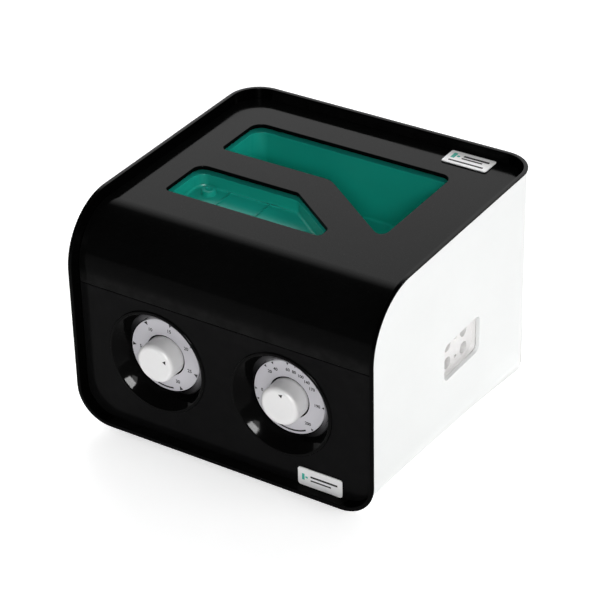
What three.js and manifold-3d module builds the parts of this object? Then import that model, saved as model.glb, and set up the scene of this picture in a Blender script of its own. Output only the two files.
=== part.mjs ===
// Tabletop air compression pump: a white case whose front and top are one bent black fascia, with two
// recessed dials, a carrying strip between two storage openings, and a four-way hose socket on the right.
// Millimetres. +X right, +Y back, +Z up. The origin is under the middle of the case, on the table.

import * as THREE from 'three';
import { mergeVertices } from 'three/addons/utils/BufferGeometryUtils.js';
import Module from 'manifold-3d';

// Overall size
const WIDTH = 240;
const DEPTH = 224;
const HEIGHT = 169;
const FOOT_GAP = 5;
const CLEARANCE = 0.3;

// Fascia: a rim that carries the panels a little way down inside it
const BEND_RADIUS = 46;
const REAR_CORNER = 24;
const FRONT_CORNER = 26;
const RIM_WIDTH = 3;
const RIM_LIP = 1.1;
const RIM_CAP = 1;
const RECESS = 8;
const PANEL_THICKNESS = 3;
const LEDGE_THICKNESS = 2;
const LEDGE_WIDTH = 9;
const SEAM_Z = 112;
const SKIRT_DEPTH = 6;
const SKIRT_WALL = 2.5;

// Case
const CASE_SIDE = 0.6;
const CASE_WALL = 3;
const CASE_BOTTOM = 9;
const CASE_CORNER = 24;
const STEP_Z = 113;
const STEP_INSET = 9;
const PLATE_TOP = 8.7;
const PLATE_THICKNESS = 2;

// Dials, a little to the left of the panel's middle
const DIAL_SPACING = 100;
const DIAL_X = -5.5;
const DIAL_Z = 66.7;
const WELL_RADIUS = 38;
const WELL_DEPTH = 10;
const SCALE_RADIUS = 27.7;
const DIAL_SIDES = 36;
const KNOB_RADIUS = 14.5;
const KNOB_HEIGHT = 13.8;
const KNOB_EDGE = 3;
const KNOB_GAP = 1.2;
const SHAFT_RADIUS = 3;
const SHAFT_END = 34;
const TIMER_MARK_DEG = 27;
const PRESSURE_MARK_DEG = 77;
const MARK_RADIUS = 10;

// Hose socket on the right side
const SOCKET = { y: 5.85, z: 74.25, length: 48.3, height: 28.4, corner: 5 };
const PORTS = { y: 7.5, z: 72.7, halfLength: 11.15, halfHeight: 6.8, radius: 4.5 };
const KEY_Z = 7.5;
const SOCKET_BODY = 22;

// Storage openings in the upper panel, as corners with their radii
const LARGE_OPENING = [[-87.5, 28, 4], [3, 28, 14], [72.5, -22.7, 5.6], [72.5, 73.5, 8], [-87.5, 73.5, 9]];
const SMALL_OPENING = [[-88, -40.5, 3], [36.5, -40.5, 3], [36.5, -30.3, 3.5], [-7, 1.2, 6], [-88, 1.2, 8]];
const LARGE_TRAY_FLOOR = 108;
const SMALL_TRAY_FLOOR = 145;
const TRAY_WALL = 2;
const BOSS = { x: -75, y: -7, radius: 5, bore: 2.4 };

// Base plate
const SCREW = { x: 84, y: 60, hole: 1.9 };
const FOOT = { x: 70, y: 76 };

// Works inside the case
const PUMP = { x: -32, y: 42, z: 47 };
const HEAD_X = 52;
const FRAME_FOOT = -27;
const VALVE = { x: 66, y: 8, z: 12 };
const NIPPLE_X = 10;
const NIPPLE_TOP = 46;
const NIPPLE_RADIUS = 3.2;
const BORE_RADIUS = 1.8;
const HOSE_RADIUS = 3.2;

const PANEL_Y = -DEPTH / 2 + RECESS;
const PANEL_Z = HEIGHT - RECESS;
const LEDGE_DEPTH = RECESS + PANEL_THICKNESS + CLEARANCE;
const FASCIA_DEPTH = LEDGE_DEPTH + LEDGE_THICKNESS;
const CASE_X = WIDTH / 2 - CASE_SIDE;
const CASE_BACK = DEPTH / 2 - CASE_SIDE;
const LOWER_BACK = CASE_BACK - STEP_INSET;

const wasm = await Module();
wasm.setup();

// ---- Geometry helpers ----

// A closed three.js geometry as a manifold solid with its faces pointing out
function toSolid(geometry) {
  const bare = geometry.index ? geometry.clone() : mergeVertices(geometry);
  bare.deleteAttribute('normal');
  bare.deleteAttribute('uv');
  const merged = mergeVertices(bare, 1e-4);
  const triangles = [];
  for (let i = 0; i < merged.index.count; i += 3) {
    const [a, b, c] = [0, 1, 2].map((k) => merged.index.getX(i + k));
    if (a !== b && b !== c && c !== a) triangles.push([a, b, c]);
  }
  const vertProperties = new Float32Array(merged.attributes.position.array);
  const build = (list) => new wasm.Manifold(
    new wasm.Mesh({ numProp: 3, vertProperties, triVerts: new Uint32Array(list.flat()) }));
  const solid = build(triangles);
  return solid.volume() > 0 ? solid : build(triangles.map(([a, b, c]) => [b, a, c]));
}

function toGeometry(solid) {
  const { vertProperties, triVerts } = solid.getMesh();
  const geometry = new THREE.BufferGeometry();
  geometry.setAttribute('position', new THREE.BufferAttribute(new Float32Array(vertProperties), 3));
  geometry.setIndex(new THREE.BufferAttribute(new Uint32Array(triVerts), 1));
  geometry.computeVertexNormals();
  return geometry;
}

// An outline of [x, y, radius] corners, each corner rounded by an arc of that radius
function outline(corners, steps = 5) {
  const points = [];
  corners.forEach(([x, y, radius], i) => {
    const here = new THREE.Vector2(x, y);
    if (!radius) {
      points.push(here);
      return;
    }
    const [beforeX, beforeY] = corners[(i + corners.length - 1) % corners.length];
    const [afterX, afterY] = corners[(i + 1) % corners.length];
    const toBefore = new THREE.Vector2(beforeX, beforeY).sub(here).normalize();
    const toAfter = new THREE.Vector2(afterX, afterY).sub(here).normalize();
    const half = Math.acos(toBefore.dot(toAfter)) / 2;
    const inward = toBefore.clone().add(toAfter).normalize();
    const centre = here.clone().addScaledVector(inward, radius / Math.sin(half));
    const start = here.clone().addScaledVector(toBefore, radius / Math.tan(half)).sub(centre);
    const end = here.clone().addScaledVector(toAfter, radius / Math.tan(half)).sub(centre);
    const sweep = Math.atan2(start.cross(end), start.dot(end));
    for (let k = 0; k <= steps; k += 1) {
      points.push(start.clone().rotateAround(new THREE.Vector2(), (sweep * k) / steps).add(centre));
    }
  });
  return points;
}

// The same corners moved outwards by a distance, with wider arcs to match
function grown(corners, distance) {
  return corners.map(([x, y, radius], i) => {
    const [beforeX, beforeY] = corners[(i + corners.length - 1) % corners.length];
    const [afterX, afterY] = corners[(i + 1) % corners.length];
    const arriving = new THREE.Vector2(x - beforeX, y - beforeY).normalize();
    const leaving = new THREE.Vector2(afterX - x, afterY - y).normalize();
    const normals = new THREE.Vector2(arriving.y + leaving.y, -arriving.x - leaving.x).normalize();
    const reach = distance / (normals.x * arriving.y - normals.y * arriving.x);
    return [x + normals.x * reach, y + normals.y * reach, radius + distance];
  });
}

function rectangle(x0, y0, x1, y1, radius = 0) {
  return outline([[x0, y0, radius], [x1, y0, radius], [x1, y1, radius], [x0, y1, radius]]);
}

const AXES = {
  x: [new THREE.Vector3(0, 1, 0), new THREE.Vector3(0, 0, 1), new THREE.Vector3(1, 0, 0)],
  y: [new THREE.Vector3(0, 0, 1), new THREE.Vector3(1, 0, 0), new THREE.Vector3(0, 1, 0)],
  z: [new THREE.Vector3(1, 0, 0), new THREE.Vector3(0, 1, 0), new THREE.Vector3(0, 0, 1)],
};

// A prism along an axis. Its outline is in YZ for x, in ZX for y and in XY for z.
function prism(axis, points, from, to) {
  const shape = new THREE.Shape(points);
  const geometry = new THREE.ExtrudeGeometry(shape, { depth: to - from, bevelEnabled: false });
  geometry.translate(0, 0, from);
  geometry.applyMatrix4(new THREE.Matrix4().makeBasis(...AXES[axis]));
  return toSolid(geometry);
}

function box(x0, y0, z0, x1, y1, z1) {
  const geometry = new THREE.BoxGeometry(x1 - x0, y1 - y0, z1 - z0);
  geometry.translate((x0 + x1) / 2, (y0 + y1) / 2, (z0 + z1) / 2);
  return toSolid(geometry);
}

// A turned piece: [radius, distance] pairs spun about the chosen axis
function turned(axis, profile, sides = 32) {
  const geometry = new THREE.LatheGeometry(profile.map(([r, h]) => new THREE.Vector2(r, h)), sides);
  if (axis === 'x') geometry.rotateZ(-Math.PI / 2);
  if (axis === 'z') geometry.rotateX(Math.PI / 2);
  return toSolid(geometry);
}

function rod(axis, radius, from, to, sides = 20) {
  return turned(axis, [[0, from], [radius, from], [radius, to], [0, to]], sides);
}

// A quarter turn of [radius, distance] points, for the rounded edge of a turned piece
function fillet(centreR, centreH, radius, fromDeg, toDeg, steps = 4) {
  return Array.from({ length: steps + 1 }, (_, k) => {
    const angle = THREE.MathUtils.degToRad(fromDeg + ((toDeg - fromDeg) * k) / steps);
    return [centreR + radius * Math.cos(angle), centreH + radius * Math.sin(angle)];
  });
}

// A round hose along a smooth curve through the points
function hose(points, radius, steps) {
  const path = new THREE.CatmullRomCurve3(points.map((p) => new THREE.Vector3(...p)));
  const ring = Array.from({ length: 8 }, (_, k) => {
    const angle = (k / 8) * 2 * Math.PI;
    return new THREE.Vector2(radius * Math.cos(angle), radius * Math.sin(angle));
  });
  return toSolid(new THREE.ExtrudeGeometry(new THREE.Shape(ring), { steps, extrudePath: path }));
}

const BLACK_GLOSS = { color: 0x060606, roughness: 0.15, metalness: 0 };
const BLACK_SATIN = { color: 0x141414, roughness: 0.4, metalness: 0 };
const WHITE_CASE = { color: 0xf1f2f1, roughness: 0.4, metalness: 0 };
const WHITE_KNOB = { color: 0xe8e8e8, roughness: 0.35, metalness: 0 };
const SCALE_GREY = { color: 0xc8c6cd, roughness: 0.5, metalness: 0 };
const TEAL = { color: 0x14a38e, roughness: 0.4, metalness: 0 };
const RUBBER = { color: 0x1c1c1c, roughness: 0.9, metalness: 0 };
const STEEL = { color: 0x9a9c9e, roughness: 0.4, metalness: 1 };
const ALUMINIUM = { color: 0xb9bbbd, roughness: 0.45, metalness: 1 };
const BRASS = { color: 0xb89a4e, roughness: 0.35, metalness: 1 };
const COPPER = { color: 0xa8572c, roughness: 0.4, metalness: 1 };
const LABEL = { color: 0xf0f0f0, roughness: 0.35, metalness: 0 };
const NYLON = { color: 0xdedccf, roughness: 0.5, metalness: 0 };
const CLEAR_HOSE = { color: 0xd8dcdc, roughness: 0.3, metalness: 0 };

const machine = new THREE.Group();

function add(group, name, solid, finish, position = [0, 0, 0]) {
  const mesh = new THREE.Mesh(toGeometry(solid), new THREE.MeshStandardMaterial(finish));
  mesh.name = name;
  mesh.position.set(...position);
  group.add(mesh);
  return mesh;
}

function subgroup(parent, x, y, z) {
  const group = new THREE.Group();
  group.position.set(x, y, z);
  parent.add(group);
  return group;
}

// ---- Fascia ----

// All that lies deeper than a depth below the fascia's skin, and an inset in from its outline
function fasciaBlock(depth, inset) {
  const front = -DEPTH / 2 + depth;
  const top = HEIGHT - depth;
  const bottom = FOOT_GAP + inset;
  const back = DEPTH / 2 - inset;
  const side = WIDTH / 2 - inset;
  const skin = outline(
    [[front, bottom, 0], [back, bottom, 0], [back, top, 0], [front, top, BEND_RADIUS - depth]], 12);
  const plan = outline([[-side, front - 1, 0], [side, front - 1, 0],
    [side, back, REAR_CORNER - inset], [-side, back, REAR_CORNER - inset]], 6);
  const face = outline([[bottom, -side, FRONT_CORNER - inset], [top + 1, -side, 0],
    [top + 1, side, 0], [bottom, side, FRONT_CORNER - inset]], 6);
  return prism('x', skin, -side, side)
    .intersect(prism('z', plan, bottom - 1, top + 1))
    .intersect(prism('y', face, front - 1, back + 1));
}

function rimFrame() {
  const beyond = fasciaBlock(-1, RIM_WIDTH);
  const cap = fasciaBlock(0, 0).subtract(fasciaBlock(RIM_CAP, -1)).subtract(beyond);
  const lipInset = RIM_WIDTH - RIM_LIP;
  const lip = fasciaBlock(0, lipInset).subtract(fasciaBlock(FASCIA_DEPTH, -1)).subtract(beyond);
  const ledge = fasciaBlock(LEDGE_DEPTH, lipInset)
    .subtract(fasciaBlock(FASCIA_DEPTH, -1))
    .subtract(fasciaBlock(-1, LEDGE_WIDTH));
  return cap.add(lip).add(ledge);
}

function panelSheet() {
  const inset = RIM_WIDTH + CLEARANCE;
  return fasciaBlock(RECESS, inset).subtract(fasciaBlock(RECESS + PANEL_THICKNESS, -1));
}

function upperPanel() {
  let panel = panelSheet().subtract(box(-WIDTH, -DEPTH, 0, WIDTH, DEPTH, SEAM_Z));
  [LARGE_OPENING, SMALL_OPENING].forEach((opening) => {
    const skirt = outline(grown(opening, SKIRT_WALL), 4);
    panel = panel.add(prism('z', skirt, PANEL_Z - SKIRT_DEPTH, PANEL_Z - 1));
  });
  [LARGE_OPENING, SMALL_OPENING].forEach((opening) => {
    panel = panel.subtract(prism('z', outline(opening, 4), PANEL_Z - 20, PANEL_Z + 5));
  });
  return panel;
}

function controlPanel() {
  let panel = panelSheet().subtract(box(-WIDTH, -DEPTH, SEAM_Z - CLEARANCE, WIDTH, DEPTH, HEIGHT + 9));
  [-1, 1].forEach((side) => {
    const hole = rod('y', WELL_RADIUS, PANEL_Y - 5, PANEL_Y + 9, DIAL_SIDES);
    panel = panel.subtract(hole.translate([DIAL_X + (side * DIAL_SPACING) / 2, 0, DIAL_Z]));
  });
  return panel;
}

// One moulding: a flange under the panel, with a deep pocket and a shallow one hanging from it
function storageTray() {
  const top = PANEL_Z - SKIRT_DEPTH - CLEARANCE;
  const flange = rectangle(-96, -49, 82, 83, 8);
  let tray = prism('z', flange, top - TRAY_WALL, top);
  [[LARGE_OPENING, LARGE_TRAY_FLOOR], [SMALL_OPENING, SMALL_TRAY_FLOOR]].forEach(([opening, floor]) => {
    tray = tray.add(prism('z', outline(grown(opening, TRAY_WALL), 4), floor - TRAY_WALL, top));
  });
  [[LARGE_OPENING, LARGE_TRAY_FLOOR], [SMALL_OPENING, SMALL_TRAY_FLOOR]].forEach(([opening, floor]) => {
    tray = tray.subtract(prism('z', outline(opening, 4), floor, top + 1));
  });
  const boss = rod('z', BOSS.radius, SMALL_TRAY_FLOOR - 1, SMALL_TRAY_FLOOR + 4, 16)
    .subtract(rod('z', BOSS.bore, SMALL_TRAY_FLOOR + 1, SMALL_TRAY_FLOOR + 5, 12));
  return tray.add(boss.translate([BOSS.x, BOSS.y, 0]));
}

function fascia() {
  add(machine, 'rim_frame', rimFrame(), BLACK_GLOSS);
  add(machine, 'upper_panel', upperPanel(), BLACK_SATIN);
  add(machine, 'control_panel', controlPanel(), BLACK_SATIN);
  add(machine, 'storage_tray', storageTray(), TEAL);
  const front = prism('y', rectangle(-7, -17.25, 7, 17.25, 2), -0.8, 0);
  add(machine, 'front_label', front, LABEL, [74.25, PANEL_Y - CLEARANCE, 15.5]);
  const top = prism('z', rectangle(-17.5, -8.5, 17.5, 8.5, 1.5), 0, 0.8);
  add(machine, 'top_label', top, LABEL, [72, 97.5, PANEL_Z + CLEARANCE]);
}

// ---- Case ----

function caseBlock(wall) {
  const front = -DEPTH / 2 + RIM_CAP + CLEARANCE;
  const top = HEIGHT - RIM_CAP - CLEARANCE;
  const bottom = CASE_BOTTOM + wall;
  const side = CASE_X - wall;
  const open = wall ? 60 : 0;
  const skin = outline([[front - open, bottom, 0], [LOWER_BACK - wall, bottom, 8],
    [LOWER_BACK - wall, STEP_Z - 3 + wall, 0], [CASE_BACK - wall, STEP_Z + wall, 0],
    [CASE_BACK - wall, top + open, 0], [front - open, top + open, BEND_RADIUS - RIM_CAP - CLEARANCE]], 12);
  const plan = outline([[-side, front - open - 1, 0], [side, front - open - 1, 0],
    [side, CASE_BACK - wall, REAR_CORNER - CASE_SIDE - wall],
    [-side, CASE_BACK - wall, REAR_CORNER - CASE_SIDE - wall]], 6);
  const face = outline([[bottom, -side, CASE_CORNER - wall], [top + open + 1, -side, 0],
    [top + open + 1, side, 0], [bottom, side, CASE_CORNER - wall]], 6);
  return prism('x', skin, -side, side)
    .intersect(prism('z', plan, bottom - 1, top + open + 1))
    .intersect(prism('y', face, front - open - 1, CASE_BACK + 1));
}

const INLET = { x: -74, z: 44, width: 27, height: 19.5 };
const SWITCH = { x: -34, z: 44, width: 21, height: 15 };
const FUSE = { x: -5, z: 44, radius: 6 };
const VENT = { first: 28, spacing: 9, count: 7, low: 34, high: 74, halfWidth: 1.5 };

function housing() {
  const rebateInset = RIM_WIDTH - RIM_LIP - CLEARANCE;
  const rebate = fasciaBlock(-1, rebateInset).subtract(fasciaBlock(FASCIA_DEPTH + CLEARANCE, -1));
  const socket = rectangle(SOCKET.y - SOCKET.length / 2, SOCKET.z - SOCKET.height / 2,
    SOCKET.y + SOCKET.length / 2, SOCKET.z + SOCKET.height / 2, SOCKET.corner);
  const underside = rectangle(-76, -84, 76, 82, 8);
  const through = [LOWER_BACK - 8, LOWER_BACK + 2];
  const rearHole = ({ x, z, width, height }) => prism('y',
    rectangle(z - height / 2, x - width / 2, z + height / 2, x + width / 2), ...through);
  let shell = caseBlock(0)
    .subtract(caseBlock(CASE_WALL))
    .subtract(rebate)
    .subtract(prism('x', socket, CASE_X - 8, CASE_X + 2))
    .subtract(prism('z', underside, CASE_BOTTOM - 1, CASE_BOTTOM + CASE_WALL + 1))
    .subtract(rearHole(INLET))
    .subtract(rearHole(SWITCH))
    .subtract(rod('y', FUSE.radius, ...through).translate([FUSE.x, 0, FUSE.z]));
  for (let slot = 0; slot < VENT.count; slot += 1) {
    const x = VENT.first + slot * VENT.spacing;
    const vent = rectangle(VENT.low, x - VENT.halfWidth, VENT.high, x + VENT.halfWidth);
    shell = shell.subtract(prism('y', vent, ...through));
  }
  [-1, 1].forEach((side) => [-1, 1].forEach((end) => {
    const hole = rod('z', SCREW.hole, CASE_BOTTOM - 1, CASE_BOTTOM + CASE_WALL + 1, 12);
    shell = shell.subtract(hole.translate([side * SCREW.x, end * SCREW.y, 0]));
  }));
  return shell;
}

function basePlate() {
  let plate = prism('z', rectangle(-90, -94, 90, 90, 6), PLATE_TOP - PLATE_THICKNESS, PLATE_TOP);
  [-1, 1].forEach((side) => [-1, 1].forEach((end) => {
    const hole = rod('z', SCREW.hole, 0, PLATE_TOP + 1, 12);
    plate = plate.subtract(hole.translate([side * SCREW.x, end * SCREW.y, 0]));
  }));
  return plate;
}

function underside() {
  add(machine, 'base_plate', basePlate(), STEEL);
  const underPlate = PLATE_TOP - PLATE_THICKNESS - CLEARANCE;
  const foot = [[0, 0], [7.6, 0], [8.4, 0.8], [9, underPlate], [0, underPlate]];
  const screw = [[0, underPlate - 1.8], [2.4, underPlate - 1.8], [3.4, underPlate - 0.8], [3.4, underPlate],
    [1.5, underPlate], [1.5, 16], [0, 16]];
  [['front', -1], ['rear', 1]].forEach(([end, y]) => [['left', -1], ['right', 1]].forEach(([side, x]) => {
    add(machine, `foot_${end}_${side}`, turned('z', foot, 24), RUBBER, [x * FOOT.x, y * FOOT.y, 0]);
    add(machine, `base_screw_${end}_${side}`, turned('z', screw, 10), STEEL, [x * SCREW.x, y * SCREW.y, 0]);
  }));
}

// White insert behind the right wall: a shallow pocket with four ports and two key slots in its floor
function hoseSocket() {
  const outer = CASE_X - CASE_WALL - CLEARANCE;
  const margin = 4;
  const body = rectangle(-SOCKET.length / 2 - margin, -SOCKET.height / 2 - margin,
    SOCKET.length / 2 + margin, SOCKET.height / 2 + margin, 4);
  const pocket = rectangle(-SOCKET.length / 2, -SOCKET.height / 2,
    SOCKET.length / 2, SOCKET.height / 2, SOCKET.corner);
  let block = prism('x', body, outer - SOCKET_BODY, outer).subtract(prism('x', pocket, outer - 3, outer + 1));
  const middleY = PORTS.y - SOCKET.y;
  const middleZ = PORTS.z - SOCKET.z;
  [-1, 1].forEach((along) => [-1, 1].forEach((up) => {
    const port = rod('x', PORTS.radius, outer - 16, outer, 18);
    block = block.subtract(port.translate(
      [0, middleY + along * PORTS.halfLength, middleZ + up * PORTS.halfHeight]));
  }));
  [-1, 1].forEach((up) => {
    const slot = box(outer - 6, -1.8, -1, outer, 1.8, 1);
    block = block.subtract(slot.translate([0, middleY, middleZ + up * KEY_Z]));
  });
  add(machine, 'hose_socket', block, WHITE_CASE, [0, SOCKET.y, SOCKET.z]);
}

// Rear power entry: inlet with three pins, rocker switch and fuse holder
function powerEntry() {
  const wallFace = LOWER_BACK + CLEARANCE;
  const inlet = subgroup(machine, INLET.x, wallFace, INLET.z);
  const flange = rectangle(-13, -17, 13, 17, 3);
  const bodyY = INLET.width / 2 - CLEARANCE;
  const bodyZ = INLET.height / 2 - CLEARANCE;
  const cavity = outline([[-8, -12, 0], [4.5, -12, 0], [8, -8.5, 0], [8, 8.5, 0], [4.5, 12, 0], [-8, 12, 0]]);
  const shell = prism('y', flange, 0, 2)
    .add(prism('y', rectangle(-bodyZ, -bodyY, bodyZ, bodyY), -20, 1))
    .subtract(prism('y', cavity, -15, 3));
  add(inlet, 'mains_inlet', shell, BLACK_SATIN);
  [['line', -7, -2], ['neutral', 7, -2], ['earth', 0, 2.5]].forEach(([name, x, z]) => {
    const pin = box(-1, -15 + CLEARANCE, -2, 1, -4, 2);
    add(inlet, `inlet_pin_${name}`, pin, BRASS, [x, 0, z]);
  });

  const rocker = subgroup(machine, SWITCH.x, wallFace, SWITCH.z);
  const halfWidth = SWITCH.width / 2;
  const halfHeight = SWITCH.height / 2;
  const surround = rectangle(-halfHeight - 2, -halfWidth - 2, halfHeight + 2, halfWidth + 2, 1.5);
  const frame = prism('y', surround, 0, 1.5)
    .add(box(-halfWidth + CLEARANCE, -17, -halfHeight + CLEARANCE,
      halfWidth - CLEARANCE, 1, halfHeight - CLEARANCE))
    .subtract(box(-halfWidth + 2, -9, -halfHeight + 1.6, halfWidth - 2, 3, halfHeight - 1.6));
  add(rocker, 'switch_frame', frame, BLACK_SATIN);
  const saddle = outline([[-6, -4.4, 0], [2.6, -5.2, 1], [1.4, 0, 0], [2.6, 5.2, 1], [-6, 4.4, 0]]);
  const cap = prism('x', saddle, -halfWidth + 2.5, halfWidth - 2.5);
  add(rocker, 'power_rocker', cap, BLACK_GLOSS).rotation.x = THREE.MathUtils.degToRad(-6);

  const fuse = subgroup(machine, FUSE.x, wallFace, FUSE.z);
  const sleeve = [[4.6, -20], [5.6, -20], [5.6, 0], [8, 0], [8, 1.6], [4.6, 1.6], [4.6, -20]];
  add(fuse, 'fuse_holder', turned('y', sleeve, 20), BLACK_SATIN);
  const plug = [[0, -12], [4.2, -12], [4.2, 1.9], [6.4, 1.9], [6.4, 4], [5.4, 5], [0, 5]];
  const slotted = turned('y', plug, 20).subtract(box(-4.5, 3.8, -0.7, 4.5, 6, 0.7));
  add(fuse, 'fuse_cap', slotted, BLACK_SATIN);
}

// ---- Dials ----

// A black funnel set in the panel, a ring scale on its floor, and a knob on a shaft through both. The
// knob's mark is a triangle whose flat side lies along a radius, with its tip turned to one side.
// The group's own origin is on the panel's face, with +Y going in.
function dial(name, x, markDeg, markSide) {
  const group = subgroup(machine, x, PANEL_Y, DIAL_Z);
  const floor = WELL_DEPTH + 1.5;
  const mouth = WELL_RADIUS - 1.4;
  const bezel = [[SHAFT_RADIUS + 2, floor], [SCALE_RADIUS + 0.7, floor], [SCALE_RADIUS + 0.7, WELL_DEPTH - 1],
    [mouth, -1.1], [WELL_RADIUS + 0.9, -1.1], [WELL_RADIUS + 1.5, -CLEARANCE],
    [WELL_RADIUS - CLEARANCE, -CLEARANCE], [WELL_RADIUS - CLEARANCE, PANEL_THICKNESS],
    [SCALE_RADIUS + 3, floor + 2], [SHAFT_RADIUS + 2, floor + 2], [SHAFT_RADIUS + 2, floor]];
  add(group, `${name}_bezel`, turned('y', bezel, DIAL_SIDES), BLACK_GLOSS);

  const hole = KNOB_RADIUS + KNOB_GAP;
  const scale = [[hole, WELL_DEPTH], [SCALE_RADIUS, WELL_DEPTH], [SCALE_RADIUS, WELL_DEPTH + 1.2],
    [hole, WELL_DEPTH + 1.2], [hole, WELL_DEPTH]];
  add(group, `${name}_scale`, turned('y', scale, DIAL_SIDES), SCALE_GREY);

  const base = WELL_DEPTH + 1;
  const crown = WELL_DEPTH - KNOB_HEIGHT;
  const side = [[SHAFT_RADIUS + CLEARANCE, base], [KNOB_RADIUS, base]];
  const top = fillet(KNOB_RADIUS - KNOB_EDGE, crown + KNOB_EDGE, KNOB_EDGE, 0, -90);
  const bore = [[0, crown], [0, crown + 4], [SHAFT_RADIUS + CLEARANCE, crown + 4], side[0]];
  const corners = [[-0.9, -1.5, 0], [-0.9, 1.5, 0], [2, 0, 0]].map(([u, v]) => [u * markSide, v, 0]);
  const mark = prism('y', outline(corners), crown - 1, crown + CLEARANCE);
  const knob = turned('y', [...side, ...top, ...bore], 28)
    .subtract(mark.translate([MARK_RADIUS, 0, 0]).rotate([0, -markDeg, 0]));
  add(group, `${name}_knob`, knob, WHITE_KNOB);
  add(group, `${name}_shaft`, rod('y', SHAFT_RADIUS, crown + 4 + CLEARANCE, SHAFT_END, 16), STEEL);
  return group;
}

function dials() {
  const timer = dial('timer', DIAL_X - DIAL_SPACING / 2, TIMER_MARK_DEG, -1);
  const clockwork = prism('y', rectangle(-25, -25, 25, 25, 5), 16, 52)
    .subtract(rod('y', SHAFT_RADIUS + 0.5, 15, SHAFT_END + 2, 16));
  add(timer, 'timer_clockwork', clockwork, ALUMINIUM);

  const pressure = dial('pressure', DIAL_X + DIAL_SPACING / 2, PRESSURE_MARK_DEG, 1);
  const nipple = [[0, 0], [2.2, 0], [2.2, 9], [3, 10], [2.2, 14], [0, 14]];
  const regulator = turned('y', [[0, 62], [12, 62], [17, 50], [17, 24], [11, 20], [11, 16], [0, 16]], 20)
    .add(turned('x', nipple, 10).translate([14, 38, 0]))
    .subtract(rod('y', SHAFT_RADIUS + 0.5, 15, SHAFT_END + 2, 16));
  add(pressure, 'pressure_regulator', regulator, BRASS);
}

// ---- Air pump ----

// A magnet shuttle swings between two coils and works a rubber diaphragm at each end.
// The group's own origin is the middle of the shuttle.
function pump() {
  const group = subgroup(machine, PUMP.x, PUMP.y, PUMP.z);
  const frame = box(-64, -32, FRAME_FOOT, 64, 32, FRAME_FOOT + 3)
    .add(box(-40, -32, -25, -36, 32, 20).subtract(box(-45, -8, -14, -30, 8, 14)))
    .add(box(36, -32, -25, 40, 32, 20).subtract(box(30, -8, -14, 45, 8, 14)));
  add(group, 'pump_frame', frame, ALUMINIUM);

  [['front', -1], ['rear', 1]].forEach(([end, y]) => {
    const core = [[-24, 9, 0], [-15, 9, 0], [-15, 22, 0], [-6, 22, 0], [-6, 9, 0], [6, 9, 0], [6, 22, 0],
      [15, 22, 0], [15, 9, 0], [24, 9, 0], [24, 30, 0], [-24, 30, 0]].map(([u, v]) => [u, v * y, 0]);
    add(group, `stator_${end}`, prism('z', outline(core), -12, 12), STEEL);
    const winding = prism('y', rectangle(-20, -14, 20, 14, 4), 10.5, 21.5)
      .subtract(prism('y', rectangle(-12.4, -6.4, 12.4, 6.4), 9, 23));
    const coil = add(group, `coil_${end}`, winding, COPPER);
    if (y < 0) coil.rotation.z = Math.PI;
  });

  const shuttle = box(-30, -7, -10, 30, 7, 10).add(rod('x', 3.2, -HEAD_X, HEAD_X, 14));
  add(group, 'armature', shuttle, STEEL);

  [['left', -1], ['right', 1]].forEach(([side, x]) => {
    const head = box(-9, -23, -23, 11, 23, 23)
      .subtract(rod('x', 19.8, -10, 6, 20))
      .add(rod('x', 3.5, 10, 22, 10).subtract(rod('x', BORE_RADIUS, 9, 23, 8)));
    const headMesh = add(group, `pump_head_${side}`, head, NYLON, [x * (HEAD_X + 1), 0, 0]);
    const disc = turned('x', [[0, -1.2], [19, -1.2], [19, 1.2], [9, 1.2], [7, 3], [0, 3]], 20);
    const discMesh = add(group, `diaphragm_${side}`, disc, RUBBER, [x * (HEAD_X + 1.6), 0, 0]);
    if (x < 0) {
      headMesh.rotation.z = Math.PI;
      discMesh.rotation.z = Math.PI;
    }
  });

  [['front', -1], ['rear', 1]].forEach(([end, y]) => [['left', -1], ['right', 1]].forEach(([side, x]) => {
    const top = FRAME_FOOT - CLEARANCE;
    const bottom = PLATE_TOP + CLEARANCE - PUMP.z;
    const waist = (top + bottom) / 2;
    const mount = [[0, bottom], [6, bottom], [6, bottom + 2], [4.2, waist], [6, top - 2], [6, top], [0, top]];
    add(group, `pump_mount_${end}_${side}`, turned('z', mount, 14), RUBBER, [x * 36, y * 24, 0]);
  }));
}

// ---- Distributor ----

// A geared motor turns a slotted rotor that sends the air to the four ports in turn
function distributor() {
  const group = subgroup(machine, VALVE.x, VALVE.y, VALVE.z);
  const motor = rod('z', 24, 0, 20, 24).add(rod('z', 2.5, 19, 29, 12));
  add(group, 'valve_motor', motor, STEEL);
  const body = turned('z', [[4, 22], [26, 22], [26, 40], [23, 40], [23, 25], [4, 25], [4, 22]], 24);
  add(group, 'valve_body', body, NYLON);
  const rotor = turned('z', [[3, 26], [22, 26], [22, 33], [3, 33], [3, 26]], 24)
    .subtract(box(8, -3, 31, 20, 3, 35));
  add(group, 'valve_rotor', rotor, WHITE_KNOB);
  let cover = rod('z', 22.6, 34, 40, 24);
  [-1, 1].forEach((x) => [-1, 1].forEach((y) => {
    const place = [x * NIPPLE_X, y * NIPPLE_X, 0];
    const nipple = rod('z', NIPPLE_RADIUS, 39, NIPPLE_TOP, 10)
      .subtract(rod('z', BORE_RADIUS, 33, NIPPLE_TOP + 1, 8));
    cover = cover.subtract(rod('z', BORE_RADIUS, 33, 41, 8).translate(place));
    cover = cover.add(nipple.translate(place));
  }));
  cover = cover.add(rod('z', NIPPLE_RADIUS, 39, NIPPLE_TOP, 10));
  add(group, 'valve_cover', cover, NYLON);
}

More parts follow.
